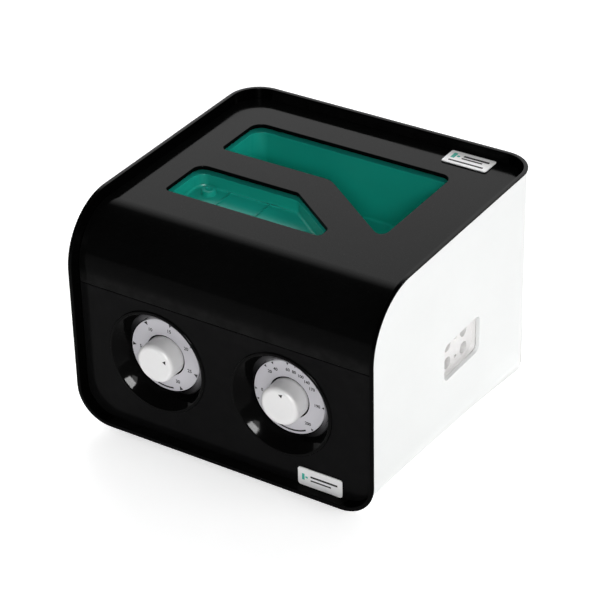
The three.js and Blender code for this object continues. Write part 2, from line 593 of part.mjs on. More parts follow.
function hoses() {
  const nippleTop = VALVE.z + NIPPLE_TOP + CLEARANCE;
  const socketBack = CASE_X - CASE_WALL - CLEARANCE - SOCKET_BODY - CLEARANCE;
  let number = 1;
  [-1, 1].forEach((along) => [-1, 1].forEach((up) => {
    const x = VALVE.x - up * NIPPLE_X;
    const y = VALVE.y + along * NIPPLE_X;
    const portZ = PORTS.z + up * PORTS.halfHeight;
    const portY = PORTS.y + along * PORTS.halfLength;
    const route = [[x, y, nippleTop], [x, y, nippleTop + 3], [x + 5, y, portZ - 1], [x + 11, y, portZ],
      [socketBack - 5, portY, portZ], [socketBack - 0.5, portY, portZ]];
    add(machine, `port_hose_${number}`, hose(route, HOSE_RADIUS, 12), CLEAR_HOSE);
    number += 1;
  }));
  const headEnd = PUMP.x + HEAD_X + 1 + 22 + 0.5;
  const feed = [[headEnd, PUMP.y, PUMP.z], [headEnd + 4, PUMP.y, PUMP.z], [headEnd + 12, PUMP.y - 3, 62],
    [VALVE.x - 8, VALVE.y + 22, 84], [VALVE.x, VALVE.y + 5, 84], [VALVE.x, VALVE.y, nippleTop + 8],
    [VALVE.x, VALVE.y, nippleTop + CLEARANCE]];
  add(machine, 'feed_hose', hose(feed, HOSE_RADIUS, 20), CLEAR_HOSE);
}

fascia();
add(machine, 'housing', housing(), WHITE_CASE);
underside();
hoseSocket();
powerEntry();
dials();
pump();
distributor();
hoses();

export default machine;
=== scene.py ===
import math
import bmesh
import bpy
from mathutils import Matrix, Vector


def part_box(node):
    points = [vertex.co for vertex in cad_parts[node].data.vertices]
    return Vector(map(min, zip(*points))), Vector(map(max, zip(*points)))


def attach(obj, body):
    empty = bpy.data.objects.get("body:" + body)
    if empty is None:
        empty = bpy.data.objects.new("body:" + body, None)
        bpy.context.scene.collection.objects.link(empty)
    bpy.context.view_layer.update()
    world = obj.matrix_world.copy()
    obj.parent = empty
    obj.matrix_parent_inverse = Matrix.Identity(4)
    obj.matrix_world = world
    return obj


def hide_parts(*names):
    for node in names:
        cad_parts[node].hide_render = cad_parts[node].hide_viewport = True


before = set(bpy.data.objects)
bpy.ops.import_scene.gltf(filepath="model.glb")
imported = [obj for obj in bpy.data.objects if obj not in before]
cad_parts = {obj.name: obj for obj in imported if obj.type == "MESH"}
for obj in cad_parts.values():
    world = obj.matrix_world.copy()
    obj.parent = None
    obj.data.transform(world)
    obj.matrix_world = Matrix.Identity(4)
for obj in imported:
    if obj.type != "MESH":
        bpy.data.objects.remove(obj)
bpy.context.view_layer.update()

# A tabletop air compression pump, put together from the table up. Metres, in the CAD model's frame:
# +X to the right of the front, +Y towards the back, +Z up. Each section is one piece or group of
# like pieces, with its sizes, mesh, finish and the CAD body that it moves with.

# ---- Studio ----
# A pale table top that glows a little, under a sky with one bright window behind the pump on its left.
# The flat black top picks that up as a grey sheen, and the sky is dark in front, so the bend stays black.
# The well lamp shows in gloss only, as the highlights in the dial wells.
MM = 0.001
CAMERA_PLACE = (0.78059, -1.20924, 0.96975)
CAMERA_AZIMUTH = math.radians(33.06)
CAMERA_HEIGHT = math.radians(31.77)
CAMERA_ROLL = math.radians(-1.34)
CAMERA_LENS = 146.2
WINDOW = (-0.478, 0.736, 0.479)


def deselect_all():
    if bpy.context.object and bpy.context.object.mode != "OBJECT":
        bpy.ops.object.mode_set(mode="OBJECT")
    bpy.ops.object.select_all(action="DESELECT")


deselect_all()
bpy.ops.object.camera_add(location=CAMERA_PLACE)
camera = bpy.context.object
turn = Matrix.Rotation(CAMERA_AZIMUTH, 4, "Z") @ Matrix.Rotation(math.pi / 2 - CAMERA_HEIGHT, 4, "X")
camera.rotation_euler = (turn @ Matrix.Rotation(CAMERA_ROLL, 4, "Z")).to_euler()
camera.data.lens = CAMERA_LENS
camera.data.sensor_width = 36
bpy.context.scene.camera = camera
bpy.context.scene.view_settings.view_transform = "Standard"


def studio_lamp(name, place, width, depth, power, roll=0):
    """A rectangular soft lamp that faces the pump, rolled about its own line of sight."""
    bpy.ops.object.light_add(type="AREA", location=place)
    lamp = bpy.context.object
    lamp.name = name
    lamp.data.shape = "RECTANGLE"
    lamp.data.size = width
    lamp.data.size_y = depth
    lamp.data.energy = power
    aim = (Vector((0, 0, 0.08)) - Vector(place)).to_track_quat("-Z", "Y")
    lamp.rotation_euler = (aim.to_matrix() @ Matrix.Rotation(math.radians(roll), 3, "Z")).to_euler()


studio_lamp("front_lamp", (1.0, -1.5, 1.1), 0.5, 0.4, 11)
studio_lamp("side_lamp", (2.0, 0.3, 1.3), 1.0, 0.9, 9)
studio_lamp("left_lamp", (-2.2, 0.2, 1.5), 1.2, 1.2, 8)
studio_lamp("well_lamp", (0.83, -1.68, 0.90), 0.58, 0.42, 100, 128)
bpy.context.object.visible_diffuse = False

bpy.ops.mesh.primitive_circle_add(vertices=64, radius=14, fill_type="NGON", location=(0, 0, 0))
table_top = bpy.context.object
table_top.name = "table_top"


def blend_colours(tree, factor, first, second):
    """Mixes two colours, each a plain colour or another node's output."""
    node = tree.nodes.new("ShaderNodeMix")
    node.data_type = "RGBA"
    tree.links.new(factor, node.inputs["Factor"])
    for label, colour in (("A", first), ("B", second)):
        if isinstance(colour, tuple):
            node.inputs[label].default_value = (*colour, 1)
        else:
            tree.links.new(colour, node.inputs[label])
    return node.outputs["Result"]


def remap(tree, value, low, high, new_low, new_high):
    """Stretches a value from one range to another, held at the ends."""
    node = tree.nodes.new("ShaderNodeMapRange")
    node.inputs["From Min"].default_value = low
    node.inputs["From Max"].default_value = high
    node.inputs["To Min"].default_value = new_low
    node.inputs["To Max"].default_value = new_high
    tree.links.new(value, node.inputs["Value"])
    return node.outputs["Result"]


def calculate(tree, operation, first, second):
    node = tree.nodes.new("ShaderNodeMath")
    node.operation = operation
    for socket, value in zip(node.inputs, (first, second)):
        if isinstance(value, (int, float)):
            socket.default_value = value
        else:
            tree.links.new(value, socket)
    return node.outputs["Value"]


def noise(tree, place, scale, detail=2.0):
    node = tree.nodes.new("ShaderNodeTexNoise")
    node.inputs["Scale"].default_value = scale
    node.inputs["Detail"].default_value = detail
    tree.links.new(place, node.inputs["Vector"])
    return node.outputs["Fac"]


def new_material(name):
    """An empty material, with its node tree, its shader and Object coordinates."""
    material = bpy.data.materials.new(name)
    material.use_nodes = True
    tree = material.node_tree
    place = tree.nodes.new("ShaderNodeTexCoord").outputs["Object"]
    return material, tree, tree.nodes["Principled BSDF"], place


pale_table, tree, shader, place = new_material("pale_table")
tone = blend_colours(tree, noise(tree, place, 3), (0.90, 0.90, 0.90), (0.93, 0.93, 0.93))
tree.links.new(tone, shader.inputs["Base Color"])
shader.inputs["Roughness"].default_value = 0.95
shader.inputs["Specular IOR Level"].default_value = 0.1
shader.inputs["Emission Color"].default_value = (1, 1, 1, 1)
shader.inputs["Emission Strength"].default_value = 0.55
table_top.data.materials.append(pale_table)

soft_sky = bpy.data.worlds.new("soft_sky")
bpy.context.scene.world = soft_sky
soft_sky.use_nodes = True
tree = soft_sky.node_tree
heading = tree.nodes.new("ShaderNodeTexCoord").outputs["Generated"]
split = tree.nodes.new("ShaderNodeSeparateXYZ")
tree.links.new(heading, split.inputs["Vector"])
toward = tree.nodes.new("ShaderNodeVectorMath")
toward.operation = "DOT_PRODUCT"
toward.inputs[1].default_value = WINDOW
tree.links.new(heading, toward.inputs[0])
window = remap(tree, toward.outputs["Value"], 0.90, 0.98, 0.0, 5.0)
behind = remap(tree, split.outputs["Y"], 0.2, 0.8, 0.08, 0.7)
right = remap(tree, split.outputs["X"], -0.1, 0.6, 0.0, 0.42)
glow = calculate(tree, "MAXIMUM", window, calculate(tree, "MAXIMUM", behind, right))
straight = tree.nodes.new("ShaderNodeLightPath").outputs["Is Camera Ray"]
strength = calculate(tree, "MAXIMUM", glow, straight)
tree.links.new(strength, tree.nodes["Background"].inputs["Strength"])
tree.nodes["Background"].inputs["Color"].default_value = (1, 1, 1, 1)

# ---- Base plate ----
# A flat zinc-plated steel plate that closes the underside of the case. It is pressed from sheet, with
# its corners rounded and its four screw holes punched, and it carries the works on its upper face.
SMOOTH_ANGLE = math.radians(35)
SCREW_X, SCREW_Y = 84 * MM, 60 * MM


def block(name, low, high):
    """A cube that fills the box from low to high."""
    deselect_all()
    low, high = Vector(low), Vector(high)
    bpy.ops.mesh.primitive_cube_add(size=1, location=(low + high) / 2, scale=high - low)
    piece = bpy.context.object
    piece.name = name
    bpy.ops.object.transform_apply(location=True, rotation=True, scale=True)
    return piece


def take_up(piece):
    """Makes one piece the only one selected."""
    deselect_all()
    piece.select_set(True)
    bpy.context.view_layer.objects.active = piece


def open_mesh(piece, kind="FACE"):
    """Starts editing a piece with nothing selected."""
    take_up(piece)
    bpy.ops.object.mode_set(mode="EDIT")
    bpy.ops.mesh.select_mode(type=kind)
    bpy.ops.mesh.select_all(action="DESELECT")


def close_mesh():
    bpy.ops.object.mode_set(mode="OBJECT")


def pick(kind, test):
    """Selects what passes the test among the open mesh's faces, edges or verts."""
    mesh = bmesh.from_edit_mesh(bpy.context.object.data)
    for part in getattr(mesh, kind):
        part.select_set(bool(test(part)))
    mesh.select_flush_mode()
    bmesh.update_edit_mesh(bpy.context.object.data)


def along(edge, axis):
    """True where an edge runs along X, Y or Z."""
    run = edge.verts[1].co - edge.verts[0].co
    return abs(run[axis]) > 0.999 * run.length


def middle(part):
    points = [vertex.co for vertex in part.verts]
    return sum(points, Vector()) / len(points)


def near(first, second, reach=0.05 * MM):
    return abs(first - second) < reach


def round_edges(piece, radius, test, segments=6):
    """Rounds the edges that pass the test."""
    open_mesh(piece, "EDGE")
    pick("edges", test)
    bpy.ops.mesh.bevel(offset=radius, segments=segments, affect="EDGES")
    close_mesh()


def apply_modifier(piece, kind, **settings):
    take_up(piece)
    modifier = piece.modifiers.new(kind.lower(), kind)
    for name, value in settings.items():
        setattr(modifier, name, value)
    bpy.ops.object.modifier_apply(modifier=modifier.name)


def ease_edges(piece, width, segments=2, angle=40):
    """Breaks every sharp edge with a small round, and shades the piece smooth between its flats."""
    apply_modifier(piece, "BEVEL", width=width, segments=segments, limit_method="ANGLE",
                   angle_limit=math.radians(angle), use_clamp_overlap=False)
    take_up(piece)
    bpy.ops.object.shade_smooth_by_angle(angle=SMOOTH_ANGLE)
    apply_modifier(piece, "WEIGHTED_NORMAL", keep_sharp=True)


def carve(piece, *cutters, operation="DIFFERENCE"):
    """Cuts each cutter out of a piece, or joins it on, and throws the cutter away."""
    for cutter in cutters:
        apply_modifier(piece, "BOOLEAN", object=cutter, operation=operation, solver="EXACT")
        bpy.data.objects.remove(cutter)


AXES = {"X": (Vector((0, 1, 0)), Vector((0, 0, 1)), Vector((1, 0, 0))),
        "Y": (Vector((1, 0, 0)), Vector((0, 0, 1)), Vector((0, 1, 0))),
        "Z": (Vector((1, 0, 0)), Vector((0, 1, 0)), Vector((0, 0, 1)))}


def turned(name, profile, axis="Z", centre=(0, 0, 0), sides=48):
    """A turned piece: a closed loop of (radius, distance) points spun about an axis."""
    side, _, run = AXES[axis]
    centre = Vector(centre)
    deselect_all()
    bpy.ops.mesh.primitive_circle_add(vertices=len(profile), fill_type="NOTHING")
    piece = bpy.context.object
    piece.name = name
    for vertex, (radius, distance) in zip(piece.data.vertices, profile):
        vertex.co = centre + side * radius + run * distance
    open_mesh(piece, "VERT")
    bpy.ops.mesh.select_all(action="SELECT")
    bpy.ops.mesh.spin(steps=sides, angle=2 * math.pi, center=centre, axis=run)
    bpy.ops.mesh.select_all(action="SELECT")
    bpy.ops.mesh.remove_doubles(threshold=0.01 * MM)
    bpy.ops.mesh.dissolve_degenerate(threshold=0.001 * MM)
    bpy.ops.mesh.normals_make_consistent(inside=False)
    close_mesh()
    piece.location = (0, 0, 0)
    return piece


def drawn(name, corners, axis, low, high, segments=8):
    """A flat outline of (u, v, radius) corners, each rounded, drawn along an axis from low to high."""
    across, up, run = AXES[axis]
    deselect_all()
    bpy.ops.mesh.primitive_circle_add(vertices=len(corners), fill_type="NGON")
    piece = bpy.context.object
    piece.name = name
    places = [across * u + up * v + run * low for u, v, _ in corners]
    for vertex, spot in zip(piece.data.vertices, places):
        vertex.co = spot
    for i, (_, _, radius) in enumerate(corners):
        if not radius:
            continue
        here, before, after = places[i], places[i - 1], places[(i + 1) % len(places)]
        half = (before - here).angle(after - here) / 2
        open_mesh(piece, "VERT")
        pick("verts", lambda v, here=here: (v.co - here).length < 0.01 * MM)
        bpy.ops.mesh.bevel(offset=radius / math.tan(half), segments=segments, affect="VERTICES")
    open_mesh(piece)
    bpy.ops.mesh.select_all(action="SELECT")
    bpy.ops.mesh.extrude_region_move(TRANSFORM_OT_translate={"value": run * (high - low)})
    bpy.ops.mesh.select_all(action="SELECT")
    bpy.ops.mesh.normals_make_consistent(inside=False)
    close_mesh()
    return piece


def plate(name, axis, u, v, size_u, size_v, radius, low, high, segments=8):
    """A rectangle centred on u, v with rounded corners, drawn along an axis."""
    a, b = size_u / 2, size_v / 2
    corners = [(u - a, v - b, radius), (u + a, v - b, radius), (u + a, v + b, radius), (u - a, v + b, radius)]
    return drawn(name, corners, axis, low, high, segments)


def rod(name, axis, centre, radius, low, high, sides=32):
    return turned(name, [(0, low), (radius, low), (radius, high), (0, high)], axis, centre, sides)


def join(piece, *others):
    """Joins others into one piece as separate shells."""
    take_up(piece)
    for other in others:
        other.select_set(True)
    bpy.ops.object.join()
    return piece


def fit(piece, body, slot, material, *nodes):
    """Gives a piece its finish, the CAD body that it moves with, and the CAD nodes it stands for."""
    piece.data.materials.clear()
    piece.data.materials.append(material)
    piece.data.polygons.foreach_set("material_index", [0] * len(piece.data.polygons))
    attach(piece, body)
    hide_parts(*nodes)


def effect_group(name, inputs, outputs):
    """A shader node group with number sockets, and its entry and exit nodes."""
    group = bpy.data.node_groups.new(name, "ShaderNodeTree")
    for label, value in inputs.items():
        socket = group.interface.new_socket(name=label, in_out="INPUT", socket_type="NodeSocketFloat")
        socket.default_value = value
    for label in outputs:
        group.interface.new_socket(name=label, in_out="OUTPUT", socket_type="NodeSocketFloat")
    return group, group.nodes.new("NodeGroupInput"), group.nodes.new("NodeGroupOutput")


# Handling: rubbed edges, faint finger smears, and dust that settles on what faces up
handling, entry, leave = effect_group("handling", {}, ("Edge", "Smear", "Dust"))
coordinates = handling.nodes.new("ShaderNodeTexCoord")
sharpness = handling.nodes.new("ShaderNodeNewGeometry").outputs["Pointiness"]
broken = noise(handling, coordinates.outputs["Object"], 140, 4)
edge = calculate(handling, "MULTIPLY", remap(handling, sharpness, 0.52, 0.62, 0, 1), broken)
smear = remap(handling, noise(handling, coordinates.outputs["Object"], 22, 3), 0.42, 0.72, 0, 1)
facing = handling.nodes.new("ShaderNodeSeparateXYZ")
handling.links.new(coordinates.outputs["Normal"], facing.inputs["Vector"])
level = remap(handling, facing.outputs["Z"], 0.55, 1.0, 0, 1)
specks = remap(handling, noise(handling, coordinates.outputs["Object"], 900, 2), 0.60, 0.75, 0, 1)
dust = calculate(handling, "MULTIPLY", level, specks)
for label, value in (("Edge", edge), ("Smear", smear), ("Dust", dust)):
    handling.links.new(value, leave.inputs[label])

# Metal: fine rolling or turning lines drawn out along Y, and a cloudy tarnish
metal_skin, entry, leave = effect_group("metal_skin", {"Lines": 900.0}, ("Height", "Cloud"))
place = metal_skin.nodes.new("ShaderNodeTexCoord").outputs["Object"]
stretch = metal_skin.nodes.new("ShaderNodeMapping")
stretch.inputs["Scale"].default_value = (1.0, 0.04, 1.0)
metal_skin.links.new(place, stretch.inputs["Vector"])
lines = metal_skin.nodes.new("ShaderNodeTexNoise")
metal_skin.links.new(stretch.outputs["Vector"], lines.inputs["Vector"])
metal_skin.links.new(entry.outputs["Lines"], lines.inputs["Scale"])
metal_skin.links.new(lines.outputs["Fac"], leave.inputs["Height"])
cloud = remap(metal_skin, noise(metal_skin, place, 45, 4), 0.35, 0.7, 0, 1)
metal_skin.links.new(cloud, leave.inputs["Cloud"])


def use_group(tree, group, **values):
    node = tree.nodes.new("ShaderNodeGroup")
    node.node_tree = group
    for label, value in values.items():
        node.inputs[label].default_value = value
    return node.outputs


def add_relief(tree, shader, height, depth):
    """Raises a surface by a height mask, to a real depth in metres."""
    bump = tree.nodes.new("ShaderNodeBump")
    bump.inputs["Distance"].default_value = depth
    bump.inputs["Strength"].default_value = 1.0
    tree.links.new(height, bump.inputs["Height"])
    tree.links.new(bump.outputs["Normal"], shader.inputs["Normal"])


def metal(name, clean, tarnished, roughness, lines=900.0, depth=0.004 * MM):
    """A bare or plated metal with drawn lines, clouding and brighter rubbed edges."""
    material, tree, shader, _ = new_material(name)
    skin = use_group(tree, metal_skin, Lines=lines)
    marks = use_group(tree, handling)
    tone = blend_colours(tree, skin["Cloud"], clean, tarnished)
    tone = blend_colours(tree, marks["Edge"], tone, tuple(min(1, c * 1.25) for c in clean))
    tree.links.new(tone, shader.inputs["Base Color"])
    tree.links.new(remap(tree, skin["Cloud"], 0, 1, roughness, roughness + 0.15), shader.inputs["Roughness"])
    shader.inputs["Metallic"].default_value = 1.0
    add_relief(tree, shader, skin["Height"], depth)
    return material


zinc_plate = metal("zinc_plate", (0.56, 0.57, 0.58), (0.42, 0.42, 0.43), 0.34)

low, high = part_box("base_plate")
base_plate = block("base_sheet", low, high)
round_edges(base_plate, 6 * MM, lambda e: along(e, 2))
for x in (-SCREW_X, SCREW_X):
    for y in (-SCREW_Y, SCREW_Y):
        carve(base_plate, rod("punch", "Z", (x, y, 0), 1.9 * MM, low.z - MM, high.z + MM))
ease_edges(base_plate, 0.3 * MM)
fit(base_plate, "case_body", "steel", zinc_plate, "base_plate")

# ---- Base screws ----
# Four pan-head steel screws through the base plate into bosses moulded in the case. Each has a cross
# recess, and they are driven from below with their heads left proud of the plate.
for end, y in (("front", -SCREW_Y), ("rear", SCREW_Y)):
    for side, x in (("left", -SCREW_X), ("right", SCREW_X)):
        node = f"base_screw_{end}_{side}"
        low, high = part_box(node)
        seat = 6.4 * MM
        screw = turned(f"screw_{end}_{side}", [
            (0, low.z), (2.2 * MM, low.z), (3.1 * MM, low.z + 0.5 * MM), (3.4 * MM, low.z + 1.1 * MM),
            (3.4 * MM, seat), (1.5 * MM, seat), (1.5 * MM, high.z - MM), (0.3 * MM, high.z), (0, high.z)],
            "Z", (x, y, 0), 24)
        for along_x, along_y in ((1.7, 0.35), (0.35, 1.7)):
            reach = Vector((along_x * MM, along_y * MM, MM))
            carve(screw, block("recess", Vector((x, y, low.z)) - reach, Vector((x, y, low.z)) + reach))
        ease_edges(screw, 0.1 * MM, 1)
        fit(screw, "case_body", "steel", zinc_plate, node)

# ---- Feet ----
# Four moulded rubber feet pressed on to the base plate. Each is a low cone with a rounded lower edge
# and a ring groove in the sole that grips the table.


def rubber(name, colour, faded, roughness):
    """Matt black rubber with a fine bloom and a pebbled skin."""
    material, tree, shader, place = new_material(name)
    marks = use_group(tree, handling)
    tone = blend_colours(tree, remap(tree, noise(tree, place, 60, 4), 0.4, 0.7, 0, 1), colour, faded)
    tone = blend_colours(tree, remap(tree, marks["Edge"], 0, 1, 0, 0.5), tone, faded)
    tree.links.new(tone, shader.inputs["Base Color"])
    tree.links.new(remap(tree, marks["Smear"], 0, 1, roughness, roughness - 0.12), shader.inputs["Roughness"])
    shader.inputs["Specular IOR Level"].default_value = 0.3
    add_relief(tree, shader, noise(tree, place, 1600, 2), 0.03 * MM)
    return material


foot_rubber = rubber("foot_rubber", (0.012, 0.012, 0.012), (0.035, 0.034, 0.033), 0.85)
works_rubber = rubber("works_rubber", (0.016, 0.015, 0.015), (0.05, 0.048, 0.045), 0.75)
for end in ("front", "rear"):
    for side in ("left", "right"):
        node = f"foot_{end}_{side}"
        low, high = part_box(node)
        centre = (low + high) / 2
        foot = turned(f"pad_{end}_{side}", [
            (0, 0), (3.4 * MM, 0), (3.4 * MM, 0.8 * MM), (4.6 * MM, 0.8 * MM), (4.6 * MM, 0), (7.6 * MM, 0),
            (8.4 * MM, 0.8 * MM), (9 * MM, high.z), (0, high.z)], "Z", (centre.x, centre.y, 0), 48)
        ease_edges(foot, 0.25 * MM)
        fit(foot, "case_body", "foot_rubber", foot_rubber, node)

# ---- Air pump ----
# A magnet shuttle between two wound stators works a rubber diaphragm at each end, inside nylon heads
# with moulded nipples. An aluminium frame holds it all on four waisted rubber mounts.


def dress(material, *nodes):
    """Gives CAD nodes that stay as they are their finish."""
    for name in nodes:
        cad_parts[name].material_slots[0].material = material


def copper_winding(name):
    """Enamelled copper wire, laid in close turns side by side."""
    material, tree, shader, place = new_material(name)
    wave = tree.nodes.new("ShaderNodeTexWave")
    wave.bands_direction = "Y"
    wave.inputs["Scale"].default_value = 620
    wave.inputs["Distortion"].default_value = 0.4
    tree.links.new(place, wave.inputs["Vector"])
    tone = blend_colours(tree, noise(tree, place, 70, 3), (0.46, 0.17, 0.07), (0.30, 0.10, 0.04))
    tree.links.new(tone, shader.inputs["Base Color"])
    tree.links.new(remap(tree, wave.outputs["Fac"], 0, 1, 0.45, 0.3), shader.inputs["Roughness"])
    shader.inputs["Metallic"].default_value = 1.0
    add_relief(tree, shader, wave.outputs["Fac"], 0.2 * MM)
    return material


laminated_steel = metal("laminated_steel", (0.40, 0.41, 0.43), (0.24, 0.23, 0.22), 0.42, 1500.0, 0.02 * MM)
cast_aluminium = metal("cast_aluminium", (0.62, 0.63, 0.64), (0.48, 0.48, 0.48), 0.48, 400.0, 0.02 * MM)
turned_brass = metal("turned_brass", (0.62, 0.46, 0.16), (0.42, 0.29, 0.10), 0.30, 1200.0)
dress(cast_aluminium, "pump_frame")
dress(laminated_steel, "stator_front", "stator_rear", "armature")
dress(copper_winding("copper_winding"), "coil_front", "coil_rear")
dress(works_rubber, "diaphragm_left", "diaphragm_right")
for end in ("front", "rear"):
    dress(works_rubber, f"pump_mount_{end}_left", f"pump_mount_{end}_right")

# Plastic: spark-eroded grain and a slow flow mottle
moulding, entry, leave = effect_group("moulding", {"Grain": 1800.0}, ("Height", "Flow"))
place = moulding.nodes.new("ShaderNodeTexCoord").outputs["Object"]
grain = moulding.nodes.new("ShaderNodeTexNoise")
grain.inputs["Detail"].default_value = 2.0
moulding.links.new(place, grain.inputs["Vector"])
moulding.links.new(entry.outputs["Grain"], grain.inputs["Scale"])
moulding.links.new(grain.outputs["Fac"], leave.inputs["Height"])
moulding.links.new(remap(moulding, noise(moulding, place, 14, 2), 0.3, 0.7, 0, 1), leave.inputs["Flow"])


def plastic(name, colour, deep, roughness, gloss, grain=1800.0, depth=0.003 * MM, dust=0.05, edge=None):
    """A moulded plastic: grain and flow from the tool, smears and dust from use, and paler edges."""
    material, tree, shader, _ = new_material(name)
    skin = use_group(tree, moulding, Grain=grain)
    marks = use_group(tree, handling)
    tone = blend_colours(tree, skin["Flow"], colour, deep)
    edge = edge or tuple(min(1, c * 1.1 + 0.01) for c in colour)
    tone = blend_colours(tree, remap(tree, marks["Edge"], 0, 1, 0, 0.6), tone, edge)
    tone = blend_colours(tree, remap(tree, marks["Dust"], 0, 1, 0, dust), tone, (0.45, 0.44, 0.42))
    tree.links.new(tone, shader.inputs["Base Color"])
    rough = remap(tree, marks["Smear"], 0, 1, roughness, roughness + 0.07)
    tree.links.new(rough, shader.inputs["Roughness"])
    shader.inputs["Specular IOR Level"].default_value = gloss
    add_relief(tree, shader, skin["Height"], depth)
    return material


nylon = plastic("nylon", (0.72, 0.70, 0.60), (0.64, 0.62, 0.52), 0.45, 0.4)
dress(nylon, "pump_head_left", "pump_head_right")

# ---- Air distributor ----
# A geared motor under a nylon cup turns a slotted rotor, which feeds the four ports in turn through
# a cover with moulded nipples. Milky silicone hoses join the pump, the cover and the socket.
valve_plastic = plastic("valve_plastic", (0.80, 0.80, 0.78), (0.74, 0.74, 0.72), 0.38, 0.4)


def silicone(name):
    """Milky silicone tube, a little cloudy along its length."""
    material, tree, shader, place = new_material(name)
    tone = blend_colours(tree, noise(tree, place, 40, 3), (0.80, 0.83, 0.82), (0.70, 0.73, 0.72))
    tree.links.new(tone, shader.inputs["Base Color"])
    tree.links.new(remap(tree, noise(tree, place, 300, 2), 0.3, 0.7, 0.25, 0.4), shader.inputs["Roughness"])
    shader.inputs["Transmission Weight"].default_value = 0.35
    return material


dress(laminated_steel, "valve_motor")
dress(nylon, "valve_body", "valve_cover")
dress(valve_plastic, "valve_rotor")
dress(silicone("silicone_tube"), "feed_hose", *[f"port_hose_{number}" for number in range(1, 5)])

# ---- Dial works ----
# Behind the left dial is a clockwork timer in a cast box, and behind the right one a brass pressure
# regulator. Each has a plain steel shaft that comes through the panel.
dress(cast_aluminium, "timer_clockwork")
dress(turned_brass, "pressure_regulator")
dress(metal("ground_steel", (0.60, 0.61, 0.62), (0.50, 0.50, 0.50), 0.22), "timer_shaft", "pressure_shaft")

# ---- Case ----
# A white ABS shell with a fine matt grain, moulded in one piece: two side walls, a back that steps in
# below half height, and a floor with a large opening that the base plate closes.
BEND = 46 * MM
REAR_CORNER = 24 * MM
FRONT_CORNER = 26 * MM
RIM_WIDTH = 3 * MM
LIP = 1.1 * MM
CAP = 1 * MM
CLEARANCE = 0.3 * MM
LIP_DEPTH = 13.3 * MM
CASE_WALL = 3 * MM
CASE_CORNER = 24 * MM
STEP_Z = 113 * MM
STEP_RISE = 3 * MM
STEP_INSET = 9 * MM
SOCKET_WIDTH, SOCKET_HEIGHT, SOCKET_CORNER = 48.3 * MM, 28.4 * MM, 5 * MM
skin_low, skin_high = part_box("rim_frame")
case_low, case_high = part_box("housing")
lower_back = case_high.y - STEP_INSET
socket = (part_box("hose_socket")[0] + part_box("hose_socket")[1]) / 2


def bend_over(piece, front, top, radius, segments):
    """Rounds the long edge where a front meets a top."""
    round_edges(piece, radius, lambda e: along(e, 0) and near(middle(e).y, front) and near(middle(e).z, top),
                segments)


def bent_skin(name, inset):
    """The fascia's outer skin as a sheet, bent over the front and trimmed back from its outline."""
    sheet = block(name, skin_low, skin_high)
    bend_over(sheet, skin_low.y, skin_high.z, BEND, 28)
    round_edges(sheet, REAR_CORNER, lambda e: along(e, 2) and near(middle(e).y, skin_high.y), 12)
    round_edges(sheet, FRONT_CORNER, lambda e: along(e, 1) and near(middle(e).z, skin_low.z), 12)
    open_mesh(sheet)
    pick("faces", lambda f: abs(f.normal.x) > 0.02 or f.normal.y > 0.02 or f.normal.z < -0.02)
    bpy.ops.mesh.delete(type="FACE")
    if inset:
        bpy.ops.mesh.select_all(action="SELECT")
        bpy.ops.mesh.inset(thickness=inset)
        bpy.ops.mesh.select_all(action="INVERT")
        bpy.ops.mesh.delete(type="FACE")
    close_mesh()
    return sheet


def sink(sheet, depth):
    """Moves a bent sheet straight down into the fascia by a depth."""
    open_mesh(sheet)
    bpy.ops.mesh.select_all(action="SELECT")
    bpy.ops.transform.shrink_fatten(value=-depth)
    close_mesh()


def case_block(name, wall, beyond):
    """The case's outer form, or the space inside its walls, which runs out beyond its front and top."""
    low = Vector((case_low.x + wall, case_low.y - beyond, case_low.z + wall))
    high = Vector((case_high.x - wall, case_high.y - wall, case_high.z + beyond))
    body = block(name, low, high)
    bend_over(body, low.y, high.z, BEND - CAP - CLEARANCE, 28)
    round_edges(body, REAR_CORNER - wall, lambda e: along(e, 2) and near(middle(e).y, high.y), 12)
    round_edges(body, CASE_CORNER - wall, lambda e: along(e, 1) and near(middle(e).z, low.z), 12)
    back = lower_back - wall
    beyond_back = 30 * MM
    step = block("step", (-0.2, back, -0.1), (0.2, back + beyond_back, STEP_Z - STEP_RISE + wall))
    open_mesh(step, "VERT")
    pick("verts", lambda v: v.co.z > 0 and v.co.y > back + MM)
    bpy.ops.transform.translate(value=(0, 0, beyond_back * STEP_RISE / STEP_INSET))
    close_mesh()
    carve(body, step)
    return body


case = case_block("case", 0, 0)
round_edges(case, 4 * MM, lambda e: all(near(v.co.y, lower_back) for v in e.verts)
            and middle(e).z < STEP_Z - 4 * MM, 5)
carve(case, plate("socket_hole", "X", socket.y, socket.z, SOCKET_WIDTH, SOCKET_HEIGHT, SOCKET_CORNER,
                  case_high.x - 8 * MM, case_high.x + 2 * MM))
carve(case, plate("floor_hole", "Z", 0, -MM, 152 * MM, 166 * MM, 8 * MM,
                  case_low.z - MM, case_low.z + 5 * MM))
rear = (lower_back - 8 * MM, lower_back + 2 * MM)
inlet_low, inlet_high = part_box("mains_inlet")
inlet = (inlet_low + inlet_high) / 2
switch_low, switch_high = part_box("switch_frame")
switch = (switch_low + switch_high) / 2
fuse_low, fuse_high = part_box("fuse_holder")
fuse = (fuse_low + fuse_high) / 2
carve(case, block("inlet_hole", (inlet.x - 13.5 * MM, rear[0], inlet.z - 9.75 * MM),
                  (inlet.x + 13.5 * MM, rear[1], inlet.z + 9.75 * MM)),
      block("switch_hole", (switch.x - 10.5 * MM, rear[0], switch.z - 7.5 * MM),
            (switch.x + 10.5 * MM, rear[1], switch.z + 7.5 * MM)),
      rod("fuse_hole", "Y", (fuse.x, 0, fuse.z), 6 * MM, *rear))
for slot in range(7):
    carve(case, plate("vent", "Y", (28 + 9 * slot) * MM, 54 * MM, 3 * MM, 40 * MM, 1.45 * MM, *rear, 5))
